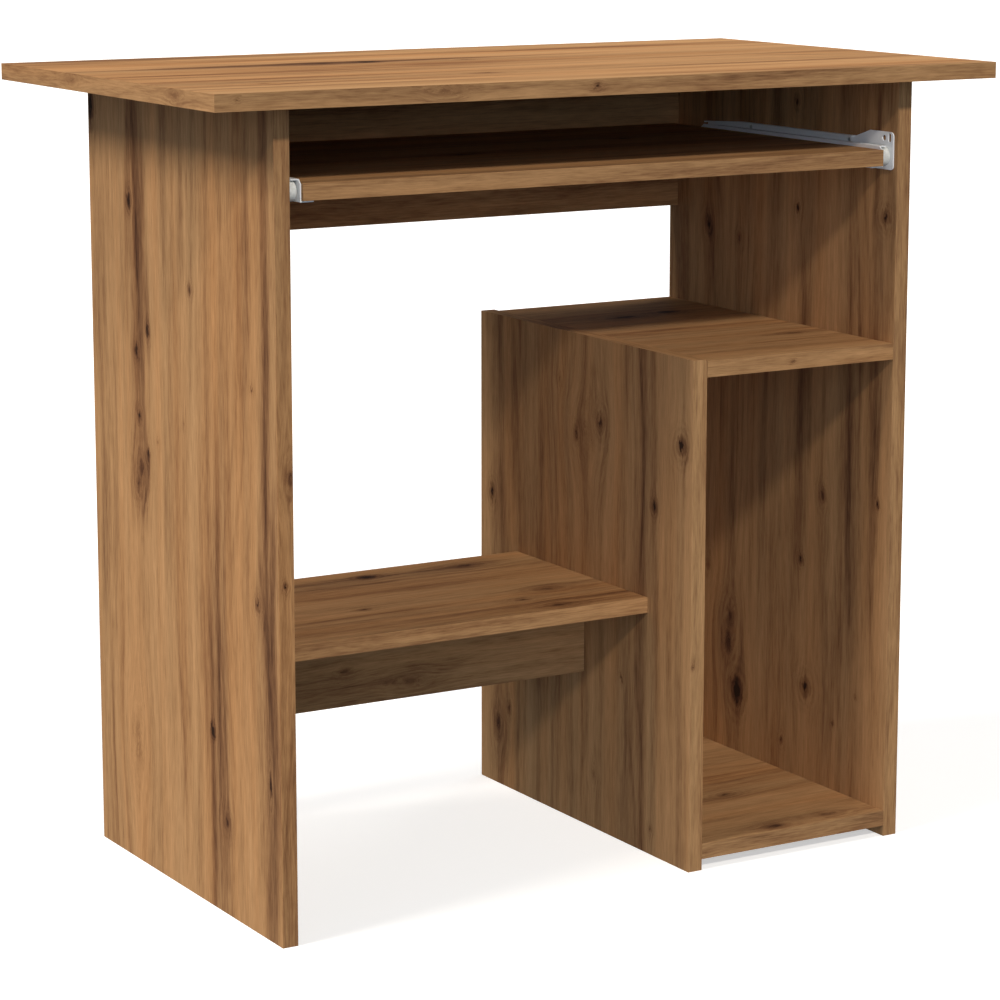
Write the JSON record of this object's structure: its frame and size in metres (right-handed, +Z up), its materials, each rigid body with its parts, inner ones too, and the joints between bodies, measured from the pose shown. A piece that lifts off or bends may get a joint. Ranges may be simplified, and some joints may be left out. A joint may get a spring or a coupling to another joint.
{
  "type": "computer desk with keyboard tray",
  "caption": "Flat-pack wood-effect computer desk: overhanging top, open computer bay, low shelf on a rail and a keyboard tray on roller slides.",
  "frame": {"origin": "on the floor, under the middle of the desktop", "axes": "+X to the sitter's right, along the desktop's length; +Y to the back; +Z up. The sitter and the open tray are on the -Y side"},
  "size_m": [0.8, 0.45, 0.74],
  "materials": {
    "oak_laminate": "warm oak decor laminate on chipboard, satin, darker streaks and small knots",
    "powder_coat": "white powder coat on pressed steel",
    "nylon": "white nylon, satin",
    "zinc": "bright zinc plate, slightly dull",
    "beech": "bare fluted beech"
  },
  "bodies": {
    "carcass": {"back_rail": "oak_laminate", "bay_floor": "oak_laminate", "bay_top_shelf": "oak_laminate", "cabinet_runner_left": "powder_coat", "cabinet_runner_right": "powder_coat", "desktop": "oak_laminate", "dowel_left": "beech", "dowel_right": "beech", "front_roller_pin_left": "zinc", "front_roller_pin_right": "zinc", "left_side_panel": "oak_laminate", "low_rail": "oak_laminate", "low_shelf": "oak_laminate", "partition": "oak_laminate", "right_side_panel": "oak_laminate", "runner_screw_left_1": "zinc", "runner_screw_left_2": "zinc", "runner_screw_right_1": "zinc", "runner_screw_right_2": "zinc", "cam_desktop_left": "zinc", "cam_desktop_right": "zinc", "cam_back_rail_top_left": "zinc", "cam_back_rail_top_right": "zinc", "cam_back_rail_left": "zinc", "cam_back_rail_right": "zinc", "cam_low_shelf_left": "zinc", "cam_low_shelf_right": "zinc", "cam_low_rail_left": "zinc", "cam_low_rail_right": "zinc", "cam_bay_top_left": "zinc", "cam_bay_top_right": "zinc", "cam_bay_floor_left": "zinc", "cam_bay_floor_right": "zinc", "cam_bolt_desktop_left": "zinc", "cam_bolt_desktop_right": "zinc", "cam_bolt_back_rail_top_left": "zinc", "cam_bolt_back_rail_top_right": "zinc", "cam_bolt_back_rail_left": "zinc", "cam_bolt_back_rail_right": "zinc", "cam_bolt_low_shelf_left": "zinc", "cam_bolt_low_shelf_right": "zinc", "cam_bolt_low_rail_left": "zinc", "cam_bolt_low_rail_right": "zinc", "cam_bolt_bay_top_left": "zinc", "cam_bolt_bay_top_right": "zinc", "cam_bolt_bay_floor_left": "zinc", "cam_bolt_bay_floor_right": "zinc"},
    "tray": {"keyboard_tray": "oak_laminate", "tray_runner_left": "powder_coat", "tray_runner_right": "powder_coat", "rear_roller_pin_left": "zinc", "rear_roller_pin_right": "zinc", "tray_screw_left_1": "zinc", "tray_screw_left_2": "zinc", "tray_screw_right_1": "zinc", "tray_screw_right_2": "zinc"},
    "front_roller_left": {"front_roller_left": "nylon"},
    "front_roller_right": {"front_roller_right": "nylon"},
    "rear_roller_left": {"rear_roller_left": "nylon"},
    "rear_roller_right": {"rear_roller_right": "nylon"}
  },
  "joints": [
    {"name": "tray_slide", "type": "slide", "parent": "carcass", "child": "tray", "axis": [0, -1, 0], "range_m": [0, 0.22]},
    {"name": "front_roller_left_spin", "type": "hinge", "parent": "carcass", "child": "front_roller_left", "pos_m": [-0.30855, -0.173, 0.6526], "axis": [1, 0, 0], "continuous": true},
    {"name": "rear_roller_left_spin", "type": "hinge", "parent": "tray", "child": "rear_roller_left", "pos_m": [-0.30745, 0.102, 0.6526], "axis": [1, 0, 0], "continuous": true},
    {"name": "front_roller_right_spin", "type": "hinge", "parent": "carcass", "child": "front_roller_right", "pos_m": [0.30855, -0.173, 0.6526], "axis": [1, 0, 0], "continuous": true},
    {"name": "rear_roller_right_spin", "type": "hinge", "parent": "tray", "child": "rear_roller_right", "pos_m": [0.30745, 0.102, 0.6526], "axis": [1, 0, 0], "continuous": true}
  ],
  "couplings": [
    {"joint": "front_roller_left_spin", "follows": "tray_slide", "rad_per_m": 111.11},
    {"joint": "rear_roller_left_spin", "follows": "tray_slide", "rad_per_m": 111.11},
    {"joint": "front_roller_right_spin", "follows": "tray_slide", "rad_per_m": 111.11},
    {"joint": "rear_roller_right_spin", "follows": "tray_slide", "rad_per_m": 111.11}
  ]
}
